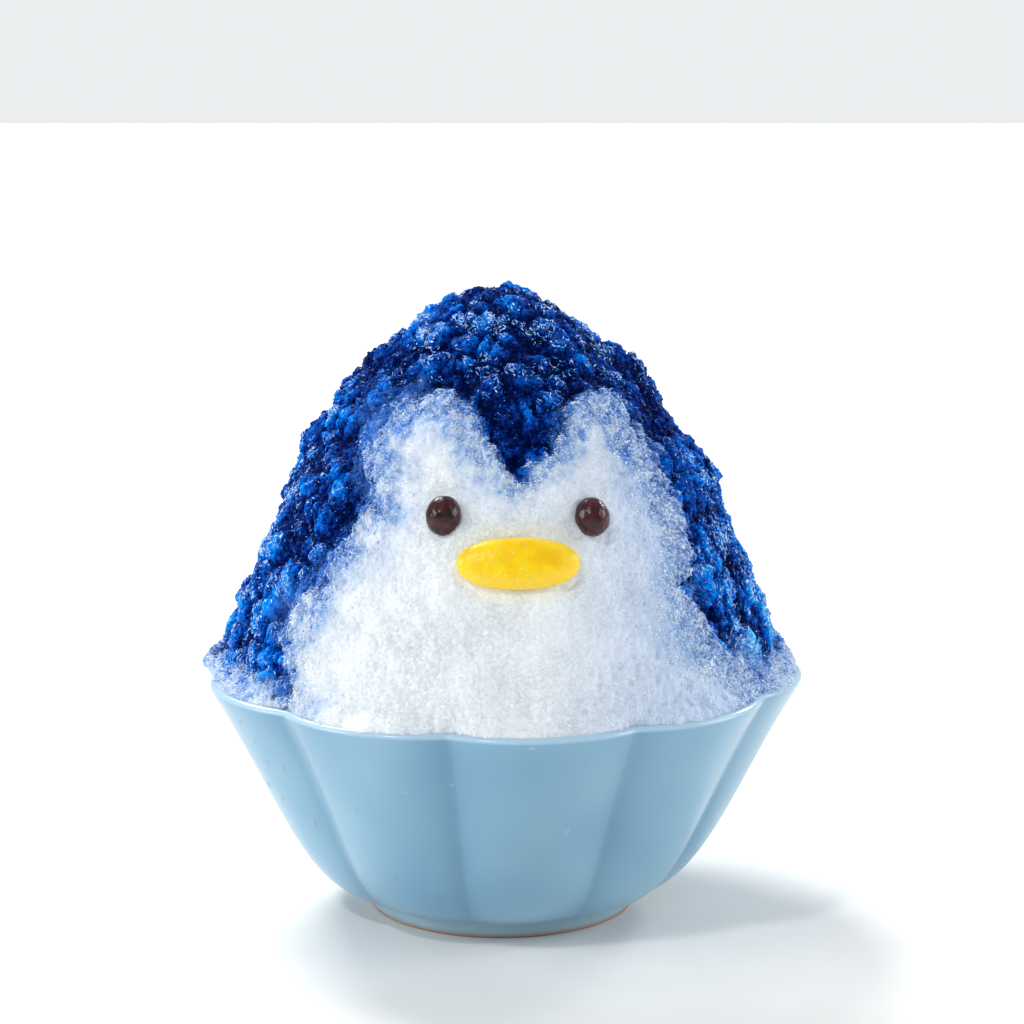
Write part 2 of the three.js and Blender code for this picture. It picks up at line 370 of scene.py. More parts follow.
def syrup():
    made = Finish("syrup_ice", (0.05, 0.6, 1.6), Roughness=0.2, IOR=1.35, Subsurface_Weight=0.7)
    made.shader.inputs["Specular IOR Level"].default_value = 0.05
    granule = made.pattern("TexVoronoi", 0.95)
    # Each grain gets a random tone, and the lightest grains read as painted glints.
    random = made.range(granule["Color"], 0, 1, -0.26, 0.26)
    fine = made.range(made.grain(0.6, 3, 0.6), 0, 1, -0.5, 0.5)
    tone = made.math("ADD", made.math("ADD", made.value("tone"), fine), random)
    wet = made.ramp(made.math("MULTIPLY", tone, SYRUP_TONE_SCALE), *SYRUP_TONES)
    made.bump(made.math("SUBTRACT", made.grain(0.5, 3, 0.6), granule["Distance"]), 0.4)
    return made.painted(made.mix(made.value("frost"), wet, rgb(78, 142, 226)))


def bean():
    made = Finish("bean", Roughness=0.24, IOR=1.42)
    made.bump(made.grain(1.1, 3), 0.12)
    return made.painted(made.patches(2.4, 4, rgb(28, 5, 9), rgb(72, 20, 30)))


def fruit():
    made = Finish("fruit", (2.0, 1.2, 0.2), Roughness=0.3, IOR=1.4, Subsurface_Weight=0.4)
    flesh = made.patches(3.0, 3, rgb(246, 202, 0), rgb(250, 216, 6))
    deep = made.mix(made.value("deep"), flesh, rgb(240, 193, 0))
    made.bump(made.grain(0.9, 3), 0.14)
    return made.painted(made.mix(made.value("rim"), deep, rgb(250, 210, 48)))


def wet_crystal():
    made = Finish("wet_crystal", Roughness=0.3, IOR=1.35, Specular_IOR_Level=0.0)
    tone = made.math("MULTIPLY", made.value("tone"), SYRUP_TONE_SCALE)
    return made.painted(made.ramp(tone, *SYRUP_TONES))


def crystal(name, dark, middle, light):
    """Grains of bright ice, each one of a shade from one colour over a second to a third."""
    made = Finish(name, Roughness=0.25, IOR=1.31)
    return made.painted(made.ramp_mix(made.value("tone"), dark, middle, light))


def water():
    """Droplets: mostly clear, with a wet shine."""
    return Finish("water", Roughness=0.04, IOR=1.33, Alpha=0.3).painted(rgb(196, 222, 238))


# ---------- bowl
BOWL_COLUMNS = 320
OUTSIDE_ROWS = 56
INSIDE_ROWS = 20
LIP_ROWS = 9
LIP_FULLNESS = 0.75  # how high the lip's curve is, as a share of half its thickness
FOOT_EDGE = 0.5
BARE_EDGE = (0.35, 0.75)  # between these heights the foot's bare edge ends
CREASE_SOFTNESS = 0.004
# Painted shade: darker glaze in the creases, where shade falls.
GLAZE_CREASE_SHADE = 0.3  # how much darker the glaze is in the creases


def fullness(around):
    """1 at the crown of a lobe and 0 in the crease between two."""
    power = LOBE_FULLNESS / 2
    wave = np.sin((around - FIRST_CREASE) * LOBES / 2) ** 2
    low, high = CREASE_SOFTNESS**power, (1 + CREASE_SOFTNESS) ** power
    return ((wave + CREASE_SOFTNESS) ** power - low) / (high - low)


def wall(shares, walls, further=0.0):
    """Rows (radius, height, crease) on the wall, moved in by some wall thicknesses and more."""
    at, along = bezier(WALL_CURVE, shares)
    inward = walls * lerp(WALL_AT_FOOT, WALL_AT_RIM, shares) + further
    crease = lerp(CREASE_AT_FOOT, CREASE_AT_RIM, np.sin(shares * np.pi / 2))
    return np.column_stack([at[:, 0] - inward * along[:, 1], at[:, 1] + inward * along[:, 0], crease])


def turned(rows, around):
    """Points of rows (radius, height, crease) turned round the axis, one row after another."""
    r, z, crease = (column[:, None] for column in np.asarray(rows).T)
    radius = r - crease * (1 - fullness(around))
    height = np.broadcast_to(z, radius.shape)
    return np.stack([radius * np.sin(around), -radius * np.cos(around), height], axis=2).reshape(-1, 3)


def capped(points, columns, low, high):
    """The points and faces of a closed body: rows that go round, a point below them and one above."""
    ring = np.arange(columns)
    after = (ring + 1) % columns
    last = len(points) - columns
    fan_low = np.column_stack([np.full(columns, len(points)), after, ring])
    fan_high = np.column_stack([np.full(columns, len(points) + 1), ring + last, after + last])
    side = tube_faces(len(points) // columns, columns)
    return np.vstack([points, [low], [high]]), [side, fan_low, fan_high]


def foot_rows():
    """Rows (radius, height, crease) from under the bowl, round its foot ring and up to the wall."""
    inner, outer, edge = FOOT_RADIUS - FOOT_RING, FOOT_RADIUS, FOOT_EDGE
    under = [(inner / 2, FOOT_RECESS), (inner - edge, FOOT_RECESS), (inner, FOOT_RECESS - edge)]
    stand = [(inner, edge), (inner + edge, 0), (outer - edge, 0), (outer - edge / 4, edge / 3)]
    side = [(outer, height) for height in (edge, 1.5, 2.5, FOOT_HEIGHT - 1.2)]
    into_wall = [(outer + 0.2, FOOT_HEIGHT - 0.5, 0.1), (outer + 0.8, FOOT_HEIGHT - 0.1, 0.3)]
    return [(*row, 0) for row in under + stand + side] + into_wall


def lip_rows(outer, inner):
    """Rows over the lip, from the top of the wall's outside to that of its inside."""
    middle, half = (outer + inner) / 2, (outer - inner) / 2
    forward = np.array([-half[1], half[0], 0]) * LIP_FULLNESS
    turns = np.linspace(0, np.pi, LIP_ROWS + 2)[1:-1]
    return [middle + half * math.cos(turn) + forward * math.sin(turn) for turn in turns]


def make_bowl():
    foot = foot_rows()
    outside = wall(np.linspace(0, 1, OUTSIDE_ROWS), 0)
    inside = wall(np.linspace(0, 1, INSIDE_ROWS), 1)[::-1]
    lip = lip_rows(outside[-1], inside[0])
    floor_radius, floor, _ = inside[-1]
    rows = np.array([*foot, *outside, *lip, *inside, (0.6 * floor_radius, floor, 0)])
    around = np.linspace(0, 2 * np.pi, BOWL_COLUMNS, endpoint=False)
    points, faces = capped(turned(rows, around), BOWL_COLUMNS, (0, 0, FOOT_RECESS), (0, 0, floor))

    x, y, z = points.T
    row = np.arange(len(points)) // BOWL_COLUMNS
    lip_from = len(foot) + len(outside)
    lip_to = lip_from + len(lip)
    # in_crease marks where the painted crease shade goes.
    in_crease = np.tile(1 - fullness(around), len(rows)) ** 2
    on_wall = (rows[:, 2] > 1).repeat(BOWL_COLUMNS)
    on_foot = 1 - smoothstep(z, FOOT_HEIGHT - 1, FOOT_HEIGHT + 3)
    values = {
        # The lip's value paints a highlight along the top of the lip.
        "lip": smoothstep(row, lip_from - 1, lip_from + 2) * (1 - smoothstep(row, lip_to, lip_to + 4)),
        "painted_crease_shade": np.append(GLAZE_CREASE_SHADE * in_crease * on_wall, [0, 0]),
        "foot": on_foot * (np.hypot(x, y) > FOOT_RADIUS - FOOT_RING + 1),
        "bare": 1 - smoothstep(z, *BARE_EDGE),
    }
    bowl = mesh_object("bowl_glazed", points, faces, glaze(), values=values)
    return finished(bowl, "glaze", "bowl")


# ---------- the heap of ice
HEAP_FOOT = RIM_HEIGHT - CLEARANCE
PROFILE_STEPS = 600
BLUE_CELLS = 344  # across the whole heap, as seen from above
WHITE_CELLS = 91
WHITE_REFINED = 5  # how many times finer its cells are where it shows
WHITE_UNDER_SYRUP = 4.0  # how far the finer cells go on under the syrup
SKIRT_ROWS = 9  # down the inside of the bowl
WET_ICE_KEPT = 0.56  # the share of its faces left once its hidden side is simpler
SYRUP_DEPTH = 5.0
SYRUP_PROUD = 0.15
SYRUP_GAP = 0.3  # between the wet ice and the dry ice under it
LIP_COVER = 0.9  # how far the snow lies onto the lip
CROWN_PINCH = 2.2  # how much slimmer the crown is
# Where the heap swells or, below 0, sinks: degrees round it, height, reach and by how much.
BULGES = (
    (-90, 146, 5, -2.3), (-90, 140.5, 4.5, 4.2), (-90, 131, 6, 2.5), (-90, 120, 6, 3.3),
    (-90, 112, 4.5, -1.8), (-90, 96, 7, -1.6), (-90, 64, 5, 2.2),
    (90, 146, 4, -2.7), (90, 140, 5, 3.8), (90, 112, 7, 3.4), (90, 96, 7, -2.6), (90, 65, 5, 1.4),
)
# Layers of noise: the strength in millimetres, the size and a shift that makes each pattern its own.
RAGGED_EDGE = ((2.0, 8, 182), (1.5, 3.2, 40), (0.8, 1.3, 80))
SNOW_RELIEF = ((1.3, 13, 11), (0.5, 5, 5), (0.22, 2.2, 23), (0.16, 1.1, 9))
FROST_SPECKLE = ((0.6, 0.9, 0), (0.6, 2.6, 7))
SEEP_MOTTLE = ((0.9, 2.4, 3), (0.7, 0.9, 33))
# The forms of the wet ice, from coarse to fine: lumps, clumps and the crevices between them, grains and the
# nicks between those, and the finest. How far each stands out, and how much lighter its syrup is painted:
# painted shade darkens the crevices and nicks, and painted light lightens the crests.
SYRUP_FORMS_PROUD = np.array([1.7, 1.8, -0.9, 0.85, -0.25, 0.5])
SYRUP_FORMS_PAINTED_LIGHT = np.array([0.4, 0.75, -0.35, 0.45, -0.15, 0.4])
SYRUP_LIGHT = 0.56
SYRUP_SETTLED = 0.6  # the wet ice has sunk together a little
DRAWN_DOWN = 0.75  # the wet clumps are longer down the slope
# Part of this darkening is painted shade, high on the front of the head.
DEPTH_AND_SHADE_DARKEN = 0.55  # how much of its lightness the deepest syrup loses
CREVICE_LIGHT_PAINTED = 0.16  # painted light: how much lighter the crevices are on the low right flank and the sides of the head
# Places on the front of the heap, as x and z, and their size.
FROSTED_PEAK = ((-29.0, 131.0), 11.0)  # where the ice is half dry over the widest stretch
LOW_FROST = ((-46.0, 90.0), 12.0)  # another such stretch
BROW = ((4.0, 121.0), 12.0)  # where the syrup's edge is sharp, between the eyes
AROUND_BROW = ((4.0, 121.0), 19.2)
BETWEEN_EYES = ((3.0, 106.0), 14.0)  # where the dry ice is clean


class Heap:
    """The smooth heap. A square from -1 to 1 covers it, its middle at the top and its edge at the rim."""

    def __init__(self):
        at, along = bezier(HEAP_CURVE, np.linspace(0, 1, PROFILE_STEPS))
        self.r = np.append(HEAP_RADIUS, at[:, 0])
        self.z = np.append(HEAP_FOOT, at[:, 1])
        self.along = np.concatenate([along[:1], along])
        step = np.hypot(np.diff(self.r), np.diff(self.z))
        self.share = 1 - np.append(0, np.cumsum(step)) / step.sum()

    def cover(self, square):
        """The points of the heap that a square's points cover."""
        u, v = square[:, 0], square[:, 1]
        wide = np.abs(u) > np.abs(v)
        share = np.where(wide, u, v)
        other = np.where(wide, v, u) / np.where(share == 0, 1, share) * np.pi / 4
        around = np.where(wide, other, np.pi / 2 - other)
        around = np.where(share < 0, around + np.pi, around) + np.pi / 2
        down = np.clip(np.abs(share), 0, 1)
        r = np.interp(-down, -self.share, self.r)
        z = np.interp(-down, -self.share, self.z)
        return self.stand(around, r, z)

    def out(self, square):
        """The directions out of the heap at a square's points."""
        step = 0.001
        u = self.cover(square + (step, 0)) - self.cover(square - (step, 0))
        v = self.cover(square + (0, step)) - self.cover(square - (0, step))
        return unit(np.cross(u, v))

    def stand(self, around, r, z):
        """Points at some angles, radii and heights of the even heap, once it leans and swells."""
        at_rim = wall(np.array([1.0]), 1, -LIP_COVER)[0]
        rim = at_rim[0] - CREASE_AT_RIM * (1 - fullness(around))
        r = lerp(rim, r, smoothstep(z, HEAP_FOOT, HEAP_FOOT + SHOULDER_RISE))
        r = r - CROWN_PINCH * smoothstep(z, HEAP_LEAN_FROM, HEAP_TOP - 6) * (r / HEAP_SHOULDER).clip(0, 1)
        for turn, height, reach, proud in BULGES:
            aside = ((around - math.radians(turn) + np.pi) % (2 * np.pi) - np.pi) * r
            r = r + proud * np.exp(-(aside**2 + (z - height) ** 2) / reach**2)
        lean = HEAP_LEAN * smoothstep(z, HEAP_LEAN_FROM, HEAP_TOP)
        return np.column_stack([r * np.sin(around) + lean, -r * np.cos(around), z])

    def at_height(self, height):
        """The radius and the tangent (r, z) at a height."""
        tangent = [np.interp(height, self.z, self.along[:, i]) for i in (0, 1)]
        return np.interp(height, self.z, self.r), tangent


heap = Heap()


def face_line():
    """The face's outline as a smooth line through its points."""
    points = np.array(FACE_OUTLINE, float)
    padded = np.vstack([points[:1], points, points[-1:]])
    t = np.linspace(0, 1, 5, endpoint=False)[:, None]
    parts = []
    for a, b, c, d in zip(padded, padded[1:], padded[2:], padded[3:]):
        cubic = (2 * a - 5 * b + 4 * c - d) * t**2 + (3 * b - a - 3 * c + d) * t**3
        parts.append(b + 0.5 * ((c - a) * t + cubic))
    return np.vstack([*parts, points[-1:]])


def inside_face(points):
    """How far inside the face's outline a point lies, seen from the front, and below 0 outside it."""
    start = face_line()
    end = np.roll(start, -1, axis=0)
    gap = np.full(len(points), 99.0)
    inside = np.zeros(len(points), bool)
    x, y, z = points.T
    for (ax, az), (bx, bz) in zip(start, end):
        dx, dz = bx - ax, bz - az
        share = np.clip(((x - ax) * dx + (z - az) * dz) / (dx * dx + dz * dz), 0, 1)
        gap = np.minimum(gap, np.hypot(x - ax - share * dx, z - az - share * dz))
        if az != bz:
            inside ^= ((az > z) != (bz > z)) & (x < ax + (z - az) / (bz - az) * dx)
    return np.where(y > 0, -30.0, np.where(inside, gap, -gap))


def whiteness(points):
    """How far a point of the heap lies inside the white ice in millimetres, and below 0 in the syrup."""
    around = np.arctan2(points[:, 0], -points[:, 1])
    waves = SYRUP_EDGE_WAVE * np.sin(SYRUP_EDGE_WAVES * around + SYRUP_EDGE_SHIFT)
    edge = SYRUP_EDGE + SYRUP_EDGE_TILT * np.sin(around) + waves
    return np.maximum(inside_face(points), edge - points[:, 2]) + noise.layers(points, RAGGED_EDGE)


def snow_relief(points, white):
    """The height of the dry ice, which is fluffy, and clotted by the syrup, the rim and low on the right."""
    x, _, z = points.T
    clots = 0.9 * noise.ridges(points + 63, 3.2) + 0.45 * noise.waves(points + 73, 1.5)
    by_syrup = 1 - smoothstep(white, 0, 6)
    by_rim = 1 - smoothstep(z, HEAP_FOOT + 1, HEAP_FOOT + 10)
    right = smoothstep(x, 8, 30) * (1 - smoothstep(z, 74, 90))
    clotted = np.maximum.reduce([by_syrup, 0.3 * by_rim, 0.7 * right])
    return noise.layers(points, SNOW_RELIEF) + clotted * clots


def syrup_relief(points):
    """The height of the wet ice and, from 0 to 1, how light its syrup is: painted light on crests, painted
    shade in crevices.
    """
    warp = np.column_stack([noise.waves(points + shift, 5) for shift in (3, 31, 61)])
    drawn = points * (1, 1, DRAWN_DOWN)
    forms = [noise.waves(drawn + 17, 12)]
    for place, size, unevenness in ((drawn + 2.0 * warp, 6.2, 0.6), (drawn + 0.9 * warp + 50, 2.5, 0.4)):
        away, lead, level = noise.clumps(place, size)
        forms += [0.33 - away**2 + unevenness * (level - 0.5), 1 - smoothstep(lead, 0, 0.35)]
    forms.append(noise.ridges(points + 47, 1.3))
    light = SYRUP_LIGHT + SYRUP_FORMS_PAINTED_LIGHT @ forms
    return SYRUP_FORMS_PROUD @ forms - SYRUP_SETTLED, np.clip(light, 0, 1)


def syrup_depth_and_light(points):
    """How deep the syrup is, with painted shade and light: about 1 high on the head, where it was poured and
    where the front is painted shaded, and below 0 on the low right flank and the sides of the head, which
    are painted lighter.
    """
    x, _, z = points.T
    height = z + 5 * noise.waves(points + 100, 16)
    # Deeper syrup and painted shade: darker high on the front of the head.
    high = smoothstep(height, 88, 120) * (1 - 0.5 * smoothstep(height, 134, 146))
    patches = smoothstep(noise.waves(points + 120, 11), -0.15, 0.5)
    # Painted light: the low right flank and the sides of the head are made lighter.
    right = smoothstep(x, 35, 62) * (1 - smoothstep(z, 70, 94))
    edges = smoothstep(np.abs(x - 5), 26, 50) * smoothstep(z, 95, 125)
    return np.clip(0.8 * high + 0.7 * patches - 0.1, 0, 1.25) - 1.3 * right - 0.6 * edges


def grid(cells):
    """The points and quads of a square of cells from -1 to 1."""
    line = np.linspace(-1, 1, cells + 1)
    i, j = pairs(range(cells), range(cells))
    first = i * (cells + 1) + j
    quads = np.column_stack([first, first + cells + 1, first + cells + 2, first + 1])
    return np.column_stack([*pairs(line, line)]), quads


def no_corner_contacts(kept):
    """Fills one cell wherever two kept cells touch by a corner alone."""
    for _ in range(4):
        a, b, c, d = kept[:-1, :-1], kept[1:, :-1], kept[:-1, 1:], kept[1:, 1:]
        rising, falling = a & d & ~b & ~c, b & c & ~a & ~d
        kept[1:, :-1] |= rising
        kept[:-1, :-1] |= falling
    return kept


def rim_edges(quads):
    """The directed edges of quads that no other quad shares."""
    edges = np.vstack([quads[:, [i, (i + 1) % 4]] for i in range(4)])
    big = int(quads.max()) + 1
    keys = edges[:, 0] * big + edges[:, 1]
    twins = edges[:, 1] * big + edges[:, 0]
    return edges[~np.isin(keys, twins)]


def ice_relief(points, white):
    """The height of the ice, and from 0 to 1 how dry it is and how light its syrup is painted, lighter on
    crests and darker in crevices.
    """
    wet, light = syrup_relief(points)
    dry = smoothstep(white, -2.5, 0.5)
    return lerp(wet, snow_relief(points, white), dry), dry, light


# A surface that loose crystals lie on. Those of the heap also have the smooth directions out of it, how far
# each point lies inside the white ice, and how light the ice is painted, with painted shade and light in it.
Ground = namedtuple("Ground", "points quads out white tone", defaults=(None, None, None))


def make_blue_ice():
    square, quads = grid(BLUE_CELLS)
    smooth = heap.cover(square)
    white = whiteness(smooth)
    middle = white[quads].mean(axis=1).reshape(BLUE_CELLS, BLUE_CELLS)
    kept = no_corner_contacts(middle < 0)
    used, quads = np.unique(quads[kept.ravel()], return_inverse=True)
    quads = quads.reshape(-1, 4)
    smooth, white, out = smooth[used], white[used], heap.out(square[used])

    height, dry, light = ice_relief(smooth, white)
    outer = smooth + out * (height + SYRUP_PROUD)[:, None]
    inner = smooth + out * (height * dry - depth_below(white) - SYRUP_GAP)[:, None]
    count = len(used)
    edge = rim_edges(quads)
    walls = np.column_stack([edge[:, 1], edge[:, 0], edge[:, 0] + count, edge[:, 1] + count])
    faces = np.vstack([quads, quads[:, ::-1] + count, walls])

    speckle = np.clip(0.7 + noise.layers(smooth, FROST_SPECKLE), 0.1, 1)
    frost = smoothstep(white, -frost_width(smooth), 0) * speckle
    # The tone carries painted shade and light: darker in crevices and high on the front of the head, lighter
    # on crests, the low right flank and the sides.
    depth = syrup_depth_and_light(smooth)
    tone = light * (1 - DEPTH_AND_SHADE_DARKEN * depth) + CREVICE_LIGHT_PAINTED * np.clip(-depth, 0, 1)
    values = {"tone": np.tile(tone, 2), "frost": np.tile(frost, 2)}
    piece = mesh_object("blue_ice_soaked", np.vstack([outer, inner]), faces, syrup(), values=values)
    thin_out(piece, np.arange(count, 2 * count), WET_ICE_KEPT)
    finished(piece, "blue_ice", "blue_ice")
    return Ground(outer, quads, out, white, tone)


def near(points, place):
    """1 at a place on the front of the heap, and less further off."""
    (x, z), size = place
    away = (points[:, 0] - x) ** 2 + (points[:, 2] - z) ** 2
    return np.exp(-away / size**2) * (points[:, 1] < 0)


def frost_width(points):
    """How far the half dry ice reaches over the syrup."""
    width = 2.5 + 4 * np.clip(0.4 + noise.waves(points + 130, 11), 0, 1)
    width += 6 * near(points, FROSTED_PEAK) + 5 * near(points, LOW_FROST)
    return width * (1 - 0.65 * near(points, BROW))


def thin_out(piece, indices, keep):
    """Merges faces of a piece where they don't show, until a share of all is left."""
    hidden = piece.vertex_groups.new(name="hidden")
    hidden.add(indices.tolist(), 1.0, "REPLACE")
    modifier = piece.modifiers.new("thin_out", "DECIMATE")
    modifier.ratio = keep
    modifier.vertex_group = "hidden"
    modifier.vertex_group_factor = 10
    graph = bpy.context.evaluated_depsgraph_get()
    mesh = bpy.data.meshes.new_from_object(piece.evaluated_get(graph))
    piece.modifiers.clear()
    piece.data = mesh
    piece.vertex_groups.clear()


def depth_below(white):
    """How deep the white ice lies under the syrup's surface."""
    return SYRUP_DEPTH * smoothstep(-white, 0.2, 3.5)


def refined_grid(cells, times, wanted):
    """A square of cells, in which those wanted are split finer. The cells beside them get extra corners."""
    square, quads = grid(cells)
    line = cells * times + 1
    i, j = np.divmod(quads[:, 0], cells + 1)
    chosen = wanted(square[quads].mean(axis=1))
    split = np.zeros((cells + 2, cells + 2), bool)
    split[i[chosen] + 1, j[chosen] + 1] = True
    within = np.arange(times)
    fine_i = i[chosen, None] * times + within.repeat(times)
    fine_j = j[chosen, None] * times + np.tile(within, times)
    first = (fine_i * line + fine_j).ravel()
    fine = np.column_stack([first, first + line, first + line + 1, first + 1])

    by_size = {}
    for a, b in zip(i[~chosen], j[~chosen]):
        corners = ((a, b), (a + 1, b), (a + 1, b + 1), (a, b + 1))
        beside = ((a, b - 1), (a + 1, b), (a, b + 1), (a - 1, b))
        ring = []
        for start, end, (side_i, side_j) in zip(corners, corners[1:] + corners[:1], beside):
            parts = times if split[side_i + 1, side_j + 1] else 1
            for k in range(parts):
                at_i, at_j = (s * times + (e - s) * times * k // parts for s, e in zip(start, end))
                ring.append(at_i * line + at_j)
        by_size.setdefault(len(ring), []).append(ring)
    coarse = [np.array(rings) for rings in by_size.values()]

    used = np.unique(np.concatenate([fine.ravel(), *(rings.ravel() for rings in coarse)]))
    lookup = np.full(line * line, -1)
    lookup[used] = np.arange(len(used))
    at = np.linspace(-1, 1, line)
    return np.column_stack([at[used // line], at[used % line]]), lookup[fine], [lookup[c] for c in coarse]


def shows_white(square):
    """Whether the heap has white ice, or nearly, at the points of a square."""
    return whiteness(heap.cover(square)) > -WHITE_UNDER_SYRUP


def below_rim(smooth, square):
    """The points of the white ice down the inside of the bowl, with the faces of its side and underside."""
    edge = np.flatnonzero(np.abs(square).max(axis=1) > 1 - 1e-9)
    around = np.arctan2(smooth[edge, 0], -smooth[edge, 1])
    order = np.argsort(around)
    edge, around = edge[order], around[order]
    rows = wall(np.linspace(1, 0, SKIRT_ROWS), 1, CLEARANCE)
    skirt = turned(rows, around)
    indices = np.append(edge, len(smooth) + np.arange(len(skirt)))
    side = indices[tube_faces(len(rows) + 1, len(edge))[:, ::-1]]
    bottom = indices[-len(edge) :]
    middle = np.full(len(edge), len(smooth) + len(skirt))
    fan = np.column_stack([middle, np.roll(bottom, -1), bottom])
    return np.vstack([skirt, [(0, 0, rows[-1][1])]]), side, fan


def make_white_ice():
    square, fine, coarse = refined_grid(WHITE_CELLS, WHITE_REFINED, shows_white)
    smooth = heap.cover(square)
    white = whiteness(smooth)
    out = heap.out(square)
    height, _, _ = ice_relief(smooth, white)
    surface = smooth + out * (height - depth_below(white))[:, None]
    below, side, fan = below_rim(smooth, square)
    faces = [np.vstack([fine, side]), fan, *coarse]
    seep_and_shade = seeped(smooth, white)
    unseen = np.zeros(len(below))
    values = {"seep_and_shade": np.append(seep_and_shade, unseen), "stain": np.append(stained(smooth), unseen)}
    piece = mesh_object("white_ice_snow", np.vstack([surface, below]), faces, snow(), values=values)
    finished(piece, "white_ice", "white_ice")
    # Its tone is lower where syrup seeped in and where the right side has painted shade.
    return Ground(surface, fine, out, white, 1 - np.clip(seep_and_shade, 0, 1))


def seeped(points, white):
    """From 0 to 1, how much syrup has seeped into the dry ice, and painted shade that makes it bluer towards
    the right.
    """
    x, _, z = points.T
    mottle = np.clip(0.5 + noise.layers(points, SEEP_MOTTLE), 0, 1)
    reach = 4.5 + 6 * np.clip(0.4 + noise.waves(points + 140, 12), 0, 1)
    right = smoothstep(x, 5, 45)
    edge = 0.8 * (1 - smoothstep(white, -1.5, reach)) * mottle * (1 - 0.4 * right)
    haze = 0.42 * (1 - smoothstep(white, 1, 15)) * np.clip(0.5 + noise.waves(points + 70, 9), 0, 1)
    haze *= 1 - 0.8 * near(points, BETWEEN_EYES)
    # Painted shade: the dry ice is painted bluer towards its right side, where less light falls.
    low = edge + haze * (1 - 0.5 * right) + 0.26 * right
    # The two peaks beside the forehead are thin ice over syrup, and the right one is so further down.
    peak = smoothstep(z, 107, 119) * (1 - near(points, BROW))
    thin = 1 - smoothstep(white, 3, 9 + 2.5 * smoothstep(x, 5, 15))
    return np.maximum(low, peak * thin * (0.3 + 0.75 * mottle))


def stained(points):
    """From 0 to 1, how much of the fruit's yellow the ice round the beak has taken."""
    beak_at = face_place(BEAK_ASIDE, BEAK_HEIGHT, 0).translation
    from_beak = np.hypot(points[:, 0] - beak_at.x, (points[:, 2] - beak_at.z) * 1.6)
    return 0.22 * (1 - smoothstep(from_beak, 11, 19)) * (points[:, 1] < 0)


# ---------- face
EYE_DENTS = ((0.035, 3.0, 0), (0.02, 1.1, 0))
BEAK_RELIEF = ((0.08, 6.0, 4), (0.05, 2.2, 0), (0.03, 1.0, 0))


def face_place(across, height, proud):
    """The frame of a piece of the face: X across it, -Y out of the slope, in millimetres."""
    r, along = heap.at_height(height)
    tilt = math.atan2(along[0], along[1])
    turn = FACE_TURN + math.asin(across / r)
    out = Matrix.Translation((0, -r - proud, height))
    return Matrix.Rotation(turn, 4, "Z") @ out @ Matrix.Rotation(tilt, 4, "X")


def ball(columns, rows):
    """Points of a unit ball and its faces."""
    around = np.linspace(0, 2 * np.pi, columns, endpoint=False)
    up = np.linspace(-np.pi / 2, np.pi / 2, rows + 1)[1:-1]
    u, a = pairs(up, around)
    points = np.column_stack([np.cos(u) * np.sin(a), -np.cos(u) * np.cos(a), np.sin(u)])
    return capped(points, columns, (0, 0, -1), (0, 0, 1))


def placed(points, place):
    matrix = np.array(place)
    return points @ matrix[:3, :3].T + matrix[:3, 3]


def make_eye(name, node, side):
    form, faces = ball(72, 48)
    dents = noise.layers(4 * form + 20 * side, EYE_DENTS)
    form = form * (1 + dents[:, None]) * (np.array(EYE_SIZE) / 2)
    place = face_place(side * EYE_SPACING / 2, EYE_HEIGHT - side * EYE_DROP, EYE_PROUD)
    piece = mesh_object(name, placed(form, place), faces, BEAN)
    return finished(piece, "bean", node)


def make_beak():
    """The slice of fruit. Returns it as a ground for crystals, and how wet its points are."""
    form, faces = ball(144, 56)
    stretch = (np.abs(form) ** BEAK_SQUARENESS).sum(axis=1) ** (-1 / BEAK_SQUARENESS)
    form = form * stretch[:, None]
    shape = form * (np.array(BEAK_SIZE) / 2)
    shape += form * noise.layers(shape, BEAK_RELIEF)[:, None]
    across, front, up = form.T
    flat = np.hypot(across, up)
    deep = smoothstep(noise.waves(shape + 9, 4.0) + across + 0.8 * up, 0.1, 0.9)
    values = {
        "rim": smoothstep(flat + 0.12 * across - 0.1 * up, 0.72, 0.92),
        "deep": deep * (1 - smoothstep(flat, 0.6, 0.9)),
    }
    shape = placed(shape, face_place(BEAK_ASIDE, BEAK_HEIGHT, BEAK_PROUD))
    piece = mesh_object("beak_slice", shape, faces, fruit(), values=values)
    finished(piece, "fruit", "beak")
    low_left = smoothstep(-across, -0.2, 0.5) + smoothstep(-up, 0.1, 0.6)
    return Ground(shape, faces[0]), (0.15 + low_left) * (front < 0) * (flat < 0.95)


# ---------- loose crystals
BLUE_CRYSTALS = 16000
STRAY_CRYSTALS = 70
GLINTS = 24000
WHITE_CRYSTALS = 11000
BEAK_CRYSTALS = 130
FROST_ON_BLUE = 9500
FROST_ON_WHITE = 8500


def chip(belt):
    """The corners of a crystal with a belt of some corners and two tips, and its faces."""
    turns = np.arange(belt) * 2 * np.pi / belt
    corners = np.column_stack([np.cos(turns), np.sin(turns), np.zeros(belt)])
    edges = [(i, (i + 1) % belt) for i in range(belt)]
    faces = [(a, b, belt) for a, b in edges] + [(b, a, belt + 1) for a, b in edges]
    return np.vstack([corners, (0, 0, 1), (0, 0, -1)]), np.array(faces)


def random_turns(rng, count):
    """Random rotation matrices."""
    w, x, y, z = unit(rng.normal(size=(count, 4))).T
    rows = [
        [1 - 2 * (y * y + z * z), 2 * (x * y - z * w), 2 * (x * z + y * w)],
        [2 * (x * y + z * w), 1 - 2 * (x * x + z * z), 2 * (y * z - x * w)],
        [2 * (x * z - y * w), 2 * (y * z + x * w), 1 - 2 * (x * x + y * y)],
    ]
    return np.array(rows).transpose(2, 0, 1)


